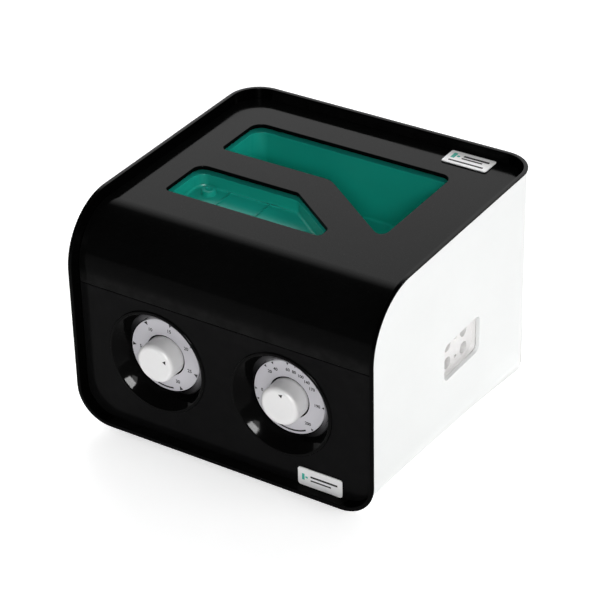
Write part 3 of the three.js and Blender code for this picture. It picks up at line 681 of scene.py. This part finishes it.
for x in (-SCREW_X, SCREW_X):
    for y in (-SCREW_Y, SCREW_Y):
        carve(case, rod("screw_hole", "Z", (x, y, 0), 1.9 * MM, case_low.z - MM, case_low.z + 5 * MM))
carve(case, case_block("inside", CASE_WALL, 60 * MM))
rebate = bent_skin("rebate", RIM_WIDTH - LIP - CLEARANCE)
sink(rebate, -MM)
apply_modifier(rebate, "SOLIDIFY", thickness=LIP_DEPTH + MM + CLEARANCE, offset=-1, use_even_offset=True)
carve(case, rebate)
ease_edges(case, 0.3 * MM)
white_case = plastic("white_case", (0.80, 0.81, 0.805), (0.78, 0.79, 0.785), 0.42, 0.35, 1500.0, 0.008 * MM,
                     dust=0.02)
fit(case, "case_body", "white_case", white_case, "housing")

# ---- Hose socket ----
# A white insert clipped behind the right wall. Its floor lies a little way in, with four round air
# ports in a two by two pattern and two narrow slots between them that key the hose plug.
PORT_RADIUS = 4.5 * MM
PORT_Y, PORT_Z = 11.15 * MM, 6.8 * MM
ports = socket + Vector((0, 1.65 * MM, -1.55 * MM))
low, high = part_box("hose_socket")
insert = block("socket_insert", low, high)
round_edges(insert, 4 * MM, lambda e: along(e, 0))
pocket = plate("pocket", "X", socket.y, socket.z, SOCKET_WIDTH, SOCKET_HEIGHT, SOCKET_CORNER,
               high.x - 3 * MM, high.x + MM)
carve(insert, pocket)
for side in (-1, 1):
    for up in (-1, 1):
        centre = (0, ports.y + side * PORT_Y, ports.z + up * PORT_Z)
        carve(insert, turned("port", [
            (0, high.x - 16 * MM), (PORT_RADIUS - 0.6 * MM, high.x - 16 * MM), (PORT_RADIUS, high.x - 6 * MM),
            (PORT_RADIUS, high.x + MM), (0, high.x + MM)], "X", centre, 32))
    key = plate("key", "X", ports.y, ports.z + side * 7.5 * MM, 3.6 * MM, 2 * MM, 0.5 * MM,
                high.x - 6 * MM, high.x + MM, 3)
    carve(insert, key)
ease_edges(insert, 0.3 * MM)
socket_white = plastic("socket_white", (0.80, 0.79, 0.785), (0.76, 0.75, 0.745), 0.45, 0.3, dust=0.1)
fit(insert, "case_body", "white_case", socket_white, "hose_socket")

# ---- Mains inlet ----
# A standard black three-pin inlet snapped into the back wall, with chamfered lower corners in its
# shroud and three flat brass pins.
black_fitting = plastic("black_fitting", (0.012, 0.012, 0.012), (0.018, 0.018, 0.018), 0.38, 0.35, 1400.0,
                        0.01 * MM, edge=(0.05, 0.05, 0.05))
wall_face = lower_back + CLEARANCE
inlet_body = plate("inlet_body", "Y", inlet.x, inlet.z, 34 * MM, 26 * MM, 3 * MM, wall_face, inlet_high.y)
carve(inlet_body, block("barrel", (inlet.x - 13.2 * MM, inlet_low.y, inlet.z - 9.45 * MM),
                        (inlet.x + 13.2 * MM, wall_face + MM, inlet.z + 9.45 * MM)), operation="UNION")
half_u, half_v, cut = 12 * MM, 8 * MM, 3.5 * MM
carve(inlet_body, drawn("shroud", [
    (inlet.x - half_u, inlet.z - half_v, 0), (inlet.x + half_u, inlet.z - half_v, 0),
    (inlet.x + half_u, inlet.z + half_v - cut, 0), (inlet.x + half_u - cut, inlet.z + half_v, 0),
    (inlet.x - half_u + cut, inlet.z + half_v, 0), (inlet.x - half_u, inlet.z + half_v - cut, 0)],
    "Y", wall_face - 15 * MM, wall_face + 4 * MM))
ease_edges(inlet_body, 0.3 * MM)
fit(inlet_body, "case_body", "satin_black", black_fitting, "mains_inlet")
for role in ("line", "neutral", "earth"):
    low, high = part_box(f"inlet_pin_{role}")
    pin = block(f"pin_{role}", low, high)
    round_edges(pin, 0.6 * MM, lambda e: near(middle(e).y, high.y), 2)
    ease_edges(pin, 0.15 * MM, 1)
    fit(pin, "case_body", "brass", turned_brass, f"inlet_pin_{role}")

# ---- Power switch ----
# A black rocker in a snap-in frame. The saddle-shaped rocker tilts about an axle across the frame,
# and it has a moulded bar at its on end and a ring at its off end.
switch_body = plate("switch_body", "Y", switch.x, switch.z, 25 * MM, 19 * MM, 1.5 * MM,
                    wall_face, switch_high.y)
carve(switch_body, block("box", (switch.x - 10.2 * MM, switch_low.y, switch.z - 7.2 * MM),
                         (switch.x + 10.2 * MM, wall_face + MM, switch.z + 7.2 * MM)), operation="UNION")
carve(switch_body, block("well", (switch.x - 8.5 * MM, wall_face - 9 * MM, switch.z - 5.9 * MM),
                         (switch.x + 8.5 * MM, wall_face + 4 * MM, switch.z + 5.9 * MM)))
ease_edges(switch_body, 0.25 * MM)
fit(switch_body, "case_body", "satin_black", black_fitting, "switch_frame")

ROCKER_TILT = math.radians(-6)
rocker = drawn("rocker", [(-6 * MM, -4.4 * MM, 0), (2.6 * MM, -5.2 * MM, MM), (1.4 * MM, 0, 6 * MM),
                          (2.6 * MM, 5.2 * MM, MM), (-6 * MM, 4.4 * MM, 0)], "X", -8 * MM, 8 * MM)
for shape in (plate("bar", "Y", 0, 3 * MM, 0.5 * MM, 2.2 * MM, 0, 1.9 * MM, 4 * MM),
              turned("ring", [(0.7 * MM, 1.9 * MM), (1.2 * MM, 1.9 * MM),
                               (1.2 * MM, 4 * MM), (0.7 * MM, 4 * MM)],
                     "Y", (0, 0, -3 * MM), 24)):
    carve(rocker, shape)
ease_edges(rocker, 0.15 * MM)
take_up(rocker)
rocker.rotation_euler = (ROCKER_TILT, 0, 0)
rocker.location = (switch.x, wall_face, switch.z)
bpy.ops.object.transform_apply(location=True, rotation=True, scale=True)
rocker_black = plastic("rocker_black", (0.008, 0.008, 0.008), (0.012, 0.012, 0.012), 0.18, 0.4,
                       edge=(0.05, 0.05, 0.05))
fit(rocker, "rocker_body", "gloss_black", rocker_black, "power_rocker")

# ---- Fuse holder ----
# A round black sleeve with a flange, and a cap that screws into it and has a coin slot.
sleeve = turned("fuse_sleeve", [
    (4.6 * MM, fuse_low.y), (5.6 * MM, fuse_low.y), (5.6 * MM, wall_face), (8 * MM, wall_face),
    (8 * MM, fuse_high.y), (4.6 * MM, fuse_high.y)], "Y", (fuse.x, 0, fuse.z))
ease_edges(sleeve, 0.3 * MM)
fit(sleeve, "case_body", "satin_black", black_fitting, "fuse_holder")
low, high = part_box("fuse_cap")
seat = fuse_high.y + CLEARANCE
cap = turned("fuse_plug", [(0, low.y), (4.2 * MM, low.y), (4.2 * MM, seat), (6.4 * MM, seat),
                           (6.4 * MM, high.y - MM), (5.4 * MM, high.y), (0, high.y)],
                           "Y", (fuse.x, 0, fuse.z))
carve(cap, block("coin_slot", (fuse.x - 4.5 * MM, high.y - 1.2 * MM, fuse.z - 0.7 * MM),
                 (fuse.x + 4.5 * MM, high.y + MM, fuse.z + 0.7 * MM)))
ease_edges(cap, 0.2 * MM)
fit(cap, "case_body", "satin_black", black_fitting, "fuse_cap")

# ---- Rim ----
# A glossy black ABS frame clipped round the front and the top. A thin lip stands proud of the
# panels, a flat cap hides the edge of the white case, and a ledge inside carries the panels.
LEDGE_DEPTH = 11.3 * MM
LEDGE_WIDTH = 9 * MM
rim = bent_skin("rim", 0)
rim.data.materials.append(None)
rim.data.materials.append(None)
open_mesh(rim)
bpy.ops.mesh.select_all(action="SELECT")
bpy.ops.mesh.inset(thickness=RIM_WIDTH - LIP)
rim.active_material_index = 1
bpy.ops.object.material_slot_assign()
bpy.ops.mesh.inset(thickness=LIP)
bpy.ops.mesh.delete(type="FACE")
close_mesh()
apply_modifier(rim, "SOLIDIFY", thickness=CAP, offset=-1, use_even_offset=True)


def depth_in_skin(point):
    """How far a point lies inside the fascia's skin."""
    centre_y, centre_z = skin_low.y + BEND, skin_high.z - BEND
    if point.y >= centre_y:
        return skin_high.z - point.z
    if point.z <= centre_z:
        return point.y - skin_low.y
    return BEND - math.hypot(point.y - centre_y, point.z - centre_z)


open_mesh(rim)
pick("faces", lambda f: f.material_index == 1 and near(depth_in_skin(middle(f)), CAP, 0.3 * MM))
bpy.ops.mesh.extrude_region_shrink_fatten(TRANSFORM_OT_shrink_fatten={"value": LIP_DEPTH - CAP})
close_mesh()
ledge = bent_skin("ledge", RIM_WIDTH - LIP / 2)
open_mesh(ledge)
bpy.ops.mesh.select_all(action="SELECT")
bpy.ops.mesh.inset(thickness=LEDGE_WIDTH - RIM_WIDTH + LIP / 2)
bpy.ops.mesh.delete(type="FACE")
close_mesh()
sink(ledge, LEDGE_DEPTH)
apply_modifier(ledge, "SOLIDIFY", thickness=LIP_DEPTH - LEDGE_DEPTH - 0.05 * MM, offset=-1,
               use_even_offset=True)
carve(rim, ledge, operation="UNION")
ease_edges(rim, 0.3 * MM)
rim_black = plastic("rim_black", (0.0006, 0.0006, 0.0006), (0.0012, 0.0012, 0.0012), 0.12, 0.02, dust=0.0,
                    edge=(0.01, 0.01, 0.01))
fit(rim, "case_body", "gloss_black", rim_black, "rim_frame")

# ---- Storage tray ----
# One teal ABS moulding that hangs under the top panel: a deep pocket and a shallow one with rounded
# floors. The shallow one has a screw boss in its corner and two low ribs across its floor.
LARGE_OPENING = [(-87.5, 28, 4), (3, 28, 14), (72.5, -22.7, 5.6), (72.5, 73.5, 8), (-87.5, 73.5, 9)]
SMALL_OPENING = [(-88, -40.5, 3), (36.5, -40.5, 3), (36.5, -30.3, 3.5), (-7, 1.2, 6), (-88, 1.2, 8)]
LARGE_FLOOR = 108 * MM
SMALL_FLOOR = 145 * MM
TRAY_WALL = 2 * MM
FLOOR_ROUND = 2 * MM
RIB_X = (-62 * MM, -30 * MM)
low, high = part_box("storage_tray")


def opening(name, corners, low, high):
    """A block with the plan of one of the two openings."""
    return drawn(name, [(u * MM, v * MM, radius * MM) for u, v, radius in corners], "Z", low, high, 10)


def swell(piece, distance):
    """Grows a block evenly on all sides."""
    open_mesh(piece)
    bpy.ops.mesh.select_all(action="SELECT")
    bpy.ops.transform.shrink_fatten(value=distance, use_even_offset=True)
    close_mesh()


tray = plate("tray", "Z", (low.x + high.x) / 2, (low.y + high.y) / 2, high.x - low.x, high.y - low.y, 8 * MM,
             high.z - TRAY_WALL, high.z)
for corners, floor in ((LARGE_OPENING, LARGE_FLOOR), (SMALL_OPENING, SMALL_FLOOR)):
    tub = opening("tub", corners, floor, high.z - TRAY_WALL - 0.1 * MM)
    swell(tub, TRAY_WALL)
    round_edges(tub, FLOOR_ROUND + TRAY_WALL,
                lambda e: all(near(v.co.z, floor - TRAY_WALL) for v in e.verts), 6)
    carve(tray, tub, operation="UNION")
for corners, floor in ((LARGE_OPENING, LARGE_FLOOR), (SMALL_OPENING, SMALL_FLOOR)):
    hollow = opening("hollow", corners, floor, high.z + 5 * MM)
    round_edges(hollow, FLOOR_ROUND, lambda e: all(near(v.co.z, floor) for v in e.verts), 6)
    if floor == SMALL_FLOOR:
        for x in RIB_X:
            carve(hollow, block("rib", (x - 0.6 * MM, -0.1, floor - MM),
                                (x + 0.6 * MM, 0.1, floor + 0.8 * MM)))
    carve(tray, hollow)
BOSS = Vector((-75 * MM, -7 * MM, 0))
boss = turned("boss", [
    (2.4 * MM, SMALL_FLOOR + MM), (2.4 * MM, SMALL_FLOOR + 4 * MM), (5 * MM, SMALL_FLOOR + 4 * MM),
    (5.4 * MM, SMALL_FLOOR - MM), (2.4 * MM, SMALL_FLOOR - MM)], "Z", BOSS, 32)
carve(tray, boss, operation="UNION")
ease_edges(tray, 0.3 * MM)
teal_tray = plastic("teal_tray", (0.010, 0.42, 0.33), (0.008, 0.38, 0.30), 0.30, 0.25, 900.0, 0.004 * MM,
                    edge=(0.05, 0.5, 0.42))
fit(tray, "case_body", "teal_tray", teal_tray, "storage_tray")

# ---- Control panel ----
# A flat black sheet of satin acrylic below the seam, with two round holes for the dials. It lies
# eight millimetres inside the rim.
PANEL_DEPTH = 8 * MM
PANEL_THICKNESS = 3 * MM
SEAM_Z = 112 * MM
WELL_RADIUS = 38 * MM
DIALS = {name: (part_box(f"{name}_scale")[0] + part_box(f"{name}_scale")[1]) / 2
         for name in ("timer", "pressure")}


def panel_sheet(name, seam, keep_top):
    """The part of the sunken sheet inside the rim that lies above or below the seam."""
    sheet = bent_skin(name, RIM_WIDTH + CLEARANCE)
    sink(sheet, PANEL_DEPTH)
    open_mesh(sheet)
    bpy.ops.mesh.select_all(action="SELECT")
    bpy.ops.mesh.bisect(plane_co=(0, 0, seam), plane_no=(0, 0, 1), clear_inner=keep_top,
                        clear_outer=not keep_top)
    close_mesh()
    apply_modifier(sheet, "SOLIDIFY", thickness=PANEL_THICKNESS, offset=-1, use_even_offset=True)
    return sheet


panel = panel_sheet("front_sheet", SEAM_Z - CLEARANCE, False)
panel_face = skin_low.y + PANEL_DEPTH
for dial in DIALS.values():
    carve(panel, rod("dial_hole", "Y", (dial.x, 0, dial.z), WELL_RADIUS, panel_face - 5 * MM,
                     panel_face + 9 * MM, 96))
ease_edges(panel, 0.5 * MM)
panel_black = plastic("panel_black", (0.0025, 0.0025, 0.0027), (0.0032, 0.0032, 0.0034), 0.14, 0.02, 1200.0,
                      0.0006 * MM, dust=0.0, edge=(0.02, 0.02, 0.02))
fit(panel, "case_body", "satin_black", panel_black, "control_panel")

# ---- Dial wells ----
# A glossy black funnel pressed into each hole. It has a raised round lip on the panel, a polished
# bell mouth, and a flat floor that the scale is stuck to.
well_black = plastic("well_black", (0.0012, 0.0012, 0.0012), (0.002, 0.002, 0.002), 0.05, 0.03, 600.0,
                     0.0005 * MM, dust=0.0, edge=(0.02, 0.02, 0.02))
BELL_RADIUS = 36.35
BELL_CENTRE = (59.72, 27.45)
BELL_ANGLES = (59.5, 55.5, 51.5, 47.5, 43.5, 39.5)
bell = [(BELL_CENTRE[0] - BELL_RADIUS * math.sin(math.radians(a)),
         BELL_CENTRE[1] - BELL_RADIUS * math.cos(math.radians(a))) for a in BELL_ANGLES]
WELL_PROFILE = [(5, 11.5), (28.4, 11.5), *bell, (37.2, -1.1), (38.9, -1.1), (39.5, -0.3),
                (37.7, -0.3), (37.7, 3), (30.7, 13.5), (5, 13.5)]
for name, dial in DIALS.items():
    well = turned(f"{name}_well", [(r * MM, panel_face + h * MM) for r, h in WELL_PROFILE], "Y",
                  (dial.x, 0, dial.z), 96)
    ease_edges(well, 0.25 * MM, angle=20)
    fit(well, "case_body", "gloss_black", well_black, f"{name}_bezel")

# ---- Scales ----
# A pale grey printed ring on each well's floor. The left one counts minutes with a triangle at every
# five, and the right one counts pressure. Each print is its own thin layer of black ink.
SCALE_RADIUS = 27.7
SCALE_HOLE = 15.7
MARK_INSET = 0.6
LEGEND_OUTER, LEGEND_INNER = 26.0, 24.8
TIMER_STEPS = [(177.3, "5"), (124.6, "10"), (78.7, "15"), (31.7, "20"), (-18.3, "25"), (-63.5, "30")]
PRESSURE_STEPS = [(-177, "0"), (-160, ""), (133.7, "20"), (118.6, "40"), (92, "60"), (78.9, "80"),
                  (64.8, "100"), (50, "140"), (34.7, "170"), (0.7, "190"), (-49.1, "200")]
INK_TOP, INK_FOOT = 0.05 * MM, -0.05 * MM


def turn_point(dial, radius, degrees):
    """A point on a dial, from its radius in millimetres and its angle from the right."""
    angle = math.radians(degrees)
    return dial.x + radius * MM * math.cos(angle), dial.z + radius * MM * math.sin(angle)


def printed_shape(dial, points, face):
    """A flat ink shape from (radius, degrees) corners."""
    corners = [(*turn_point(dial, radius, degrees), 0) for radius, degrees in points]
    return drawn("ink", corners, "Y", face - INK_TOP, face - INK_FOOT)


def printed_number(dial, text, radius, degrees, height, face):
    """An upright number, set as text and made a mesh."""
    deselect_all()
    bpy.ops.object.text_add()
    number = bpy.context.object
    number.data.body = text
    number.data.size = height
    number.data.align_x = "CENTER"
    number.data.align_y = "CENTER"
    number.data.extrude = INK_TOP
    number.data.offset = 0.08 * MM
    bpy.ops.object.convert(target="MESH")
    x, z = turn_point(dial, radius, degrees)
    number.rotation_euler = (math.pi / 2, 0, 0)
    number.location = (x, face, z)
    bpy.ops.object.transform_apply(location=True, rotation=True, scale=True)
    return number


scale_grey = plastic("scale_grey", (0.60, 0.59, 0.625), (0.56, 0.55, 0.585), 0.42, 0.3, 2500.0, 0.001 * MM)
ink_black = plastic("ink_black", (0.004, 0.004, 0.004), (0.008, 0.008, 0.008), 0.5, 0.2, dust=0.0)
LAYOUTS = {
    "timer": (TIMER_STEPS, 3.0, 3.0, 20.6, 3.6, (-107, -78)),
    "pressure": (PRESSURE_STEPS, 1.9, 1.9, 21.6, 3.2, (-116, -61)),
}
for name, (steps, mark_width, mark_height, number_radius, number_height, legend) in LAYOUTS.items():
    dial = DIALS[name]
    low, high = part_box(f"{name}_scale")
    disc = turned(f"{name}_ring", [(SCALE_HOLE * MM, low.y), (SCALE_RADIUS * MM, low.y),
                                   (SCALE_RADIUS * MM, high.y), (SCALE_HOLE * MM, high.y)],
                  "Y", (dial.x, 0, dial.z), 96)
    ease_edges(disc, 0.15 * MM)
    fit(disc, "case_body", "scale_grey", scale_grey, f"{name}_scale")
    prints = []
    outer = SCALE_RADIUS - MARK_INSET
    half_angle = math.degrees(mark_width / 2 / outer)
    for degrees, text in steps:
        prints.append(printed_shape(dial, [(outer, degrees - half_angle), (outer, degrees + half_angle),
                                           (outer - mark_height, degrees)], low.y))
        if text:
            prints.append(printed_number(dial, text, number_radius, degrees, number_height * MM, low.y))
    first, last = legend
    sweep = [first + (last - first) * k / 12 for k in range(13)]
    arc = [(LEGEND_OUTER, a) for a in sweep] + [(LEGEND_INNER, a) for a in reversed(sweep)]
    prints.append(printed_shape(dial, arc, low.y))
    ink = join(*prints)
    ink.name = f"{name}_print"
    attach(ink, "case_body")
    ink.data.materials.clear()
    ink.data.materials.append(ink_black)

# ---- Knobs ----
# A white ABS cap on each shaft, with a flat crown and a soft rounded shoulder. It stands in the ring
# scale's hole with a narrow dark gap round it, and its pointer is a black triangle on the crown.
knob_white = plastic("knob_white", (0.88, 0.875, 0.875), (0.85, 0.845, 0.845), 0.38, 0.35, 1500.0, 0.004 * MM,
                     dust=0.02)
CROWN, FOOT = -3.8, 11
SHOULDER = 3.4
KNOB_RADIUS = 14.5
shoulder = [(KNOB_RADIUS - SHOULDER + SHOULDER * math.cos(math.radians(a)),
             CROWN + SHOULDER - SHOULDER * math.sin(math.radians(a))) for a in range(0, 91, 10)]
KNOB_PROFILE = [(3.3, FOOT), (KNOB_RADIUS, FOOT), *shoulder, (0, CROWN), (0, CROWN + 4), (3.3, CROWN + 4)]
POINTER_RADIUS = 10
POINTER_HALF = 1.5
POINTERS = {"timer": (27, -1), "pressure": (77, 1)}
for name, dial in DIALS.items():
    knob = turned(f"{name}_cap", [(r * MM, panel_face + h * MM) for r, h in KNOB_PROFILE], "Y",
                  (dial.x, 0, dial.z), 96)
    ease_edges(knob, 0.25 * MM)
    fit(knob, f"{name}_dial_body", "white_knob", knob_white, f"{name}_knob")
    degrees, way = POINTERS[name]
    face = panel_face + CROWN * MM
    tip = math.degrees(math.atan2(way * 2.0, POINTER_RADIUS))
    foot = math.degrees(math.atan2(-way * 0.9, POINTER_RADIUS))
    pointer = printed_shape(dial, [(POINTER_RADIUS - POINTER_HALF, degrees + foot),
                                   (POINTER_RADIUS + POINTER_HALF, degrees + foot),
                                   (POINTER_RADIUS + 0.2, degrees + tip)], face)
    pointer.name = f"{name}_pointer"
    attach(pointer, f"{name}_dial_body")
    pointer.data.materials.append(ink_black)

# ---- Top panel ----
# A satin black sheet bent over the front in one piece. Its two openings leave a slanted strip between
# them, which is the carrying handle, and each opening has a moulded skirt that reaches the tray.
SKIRT_DEPTH = 6 * MM
SKIRT_WALL = 2.5 * MM
panel_top = skin_high.z - PANEL_DEPTH
top = panel_sheet("top_sheet", SEAM_Z, True)
for corners in (LARGE_OPENING, SMALL_OPENING):
    skirt = opening("skirt", corners, panel_top - SKIRT_DEPTH + SKIRT_WALL, panel_top - MM - SKIRT_WALL)
    swell(skirt, SKIRT_WALL)
    carve(top, skirt, operation="UNION")
for corners in (LARGE_OPENING, SMALL_OPENING):
    carve(top, opening("cut", corners, panel_top - 20 * MM, panel_top + 5 * MM))
ease_edges(top, 0.6 * MM, 3)
top_black = plastic("top_black", (0.0015, 0.0016, 0.0016), (0.0022, 0.0023, 0.0023), 0.08, 0.016, 1200.0,
                    0.0004 * MM, dust=0.01, edge=(0.02, 0.02, 0.02))
fit(top, "case_body", "satin_black", top_black, "upper_panel")

# ---- Labels ----
# Two small white name plates of rigid film, one low on the front and one at the back of the top. Their
# print is plain: a teal block and dark bars, each a thin layer of ink.
label_white = plastic("label_white", (0.84, 0.84, 0.84), (0.81, 0.81, 0.81), 0.3, 0.3)
ink_teal = plastic("ink_teal", (0.02, 0.42, 0.33), (0.02, 0.36, 0.28), 0.4, 0.25, dust=0.0)
low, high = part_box("front_label")
tag = plate("front_tag", "Y", (low.x + high.x) / 2, (low.z + high.z) / 2, high.x - low.x, high.z - low.z,
            2 * MM, low.y, high.y)
ease_edges(tag, 0.15 * MM)
fit(tag, "case_body", "label_white", label_white, "front_label")


def bars(name, axis, spans, low, high, material):
    """A row of plain printed bars, each (u, v, width, height) in millimetres."""
    row = join(*[plate("bar", axis, u * MM, v * MM, width * MM, height * MM, 0.2 * MM, low, high, 2)
                 for u, v, width, height in spans])
    row.name = name
    row.data.materials.append(material)
    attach(row, "case_body")


middle_x, middle_z = (low.x + high.x) / 2 / MM, (low.z + high.z) / 2 / MM
bars("front_tag_teal", "Y", [(middle_x - 13, middle_z, 2, 5), (middle_x - 10.4, middle_z, 1.8, 1.4)],
     low.y - 0.03 * MM, low.y + 0.1 * MM, ink_teal)
bars("front_tag_dark", "Y",
     [(middle_x + 3.2, middle_z + 1.4, 21, 1.5), (middle_x + 0.7, middle_z - 1.6, 16, 1.1)],
     low.y - 0.03 * MM, low.y + 0.1 * MM, ink_black)
low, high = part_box("top_label")
tag = plate("top_tag", "Z", (low.x + high.x) / 2, (low.y + high.y) / 2, high.x - low.x, high.y - low.y,
            1.5 * MM, low.z, high.z)
ease_edges(tag, 0.15 * MM)
fit(tag, "case_body", "label_white", label_white, "top_label")
middle_x, middle_y = (low.x + high.x) / 2 / MM, (low.y + high.y) / 2 / MM
bars("top_tag_teal", "Z", [(middle_x - 12.6, middle_y + 2, 3, 7), (middle_x - 9.2, middle_y + 2, 2.2, 2)],
     high.z - 0.1 * MM, high.z + 0.03 * MM, ink_teal)
bars("top_tag_dark", "Z",
     [(middle_x + 4.2, middle_y + 3.6, 20, 2.2), (middle_x + 2.2, middle_y + 0.4, 16, 1.6),
      (middle_x, middle_y - 4.8, 27, 1.8)],
     high.z - 0.1 * MM, high.z + 0.03 * MM, ink_black)
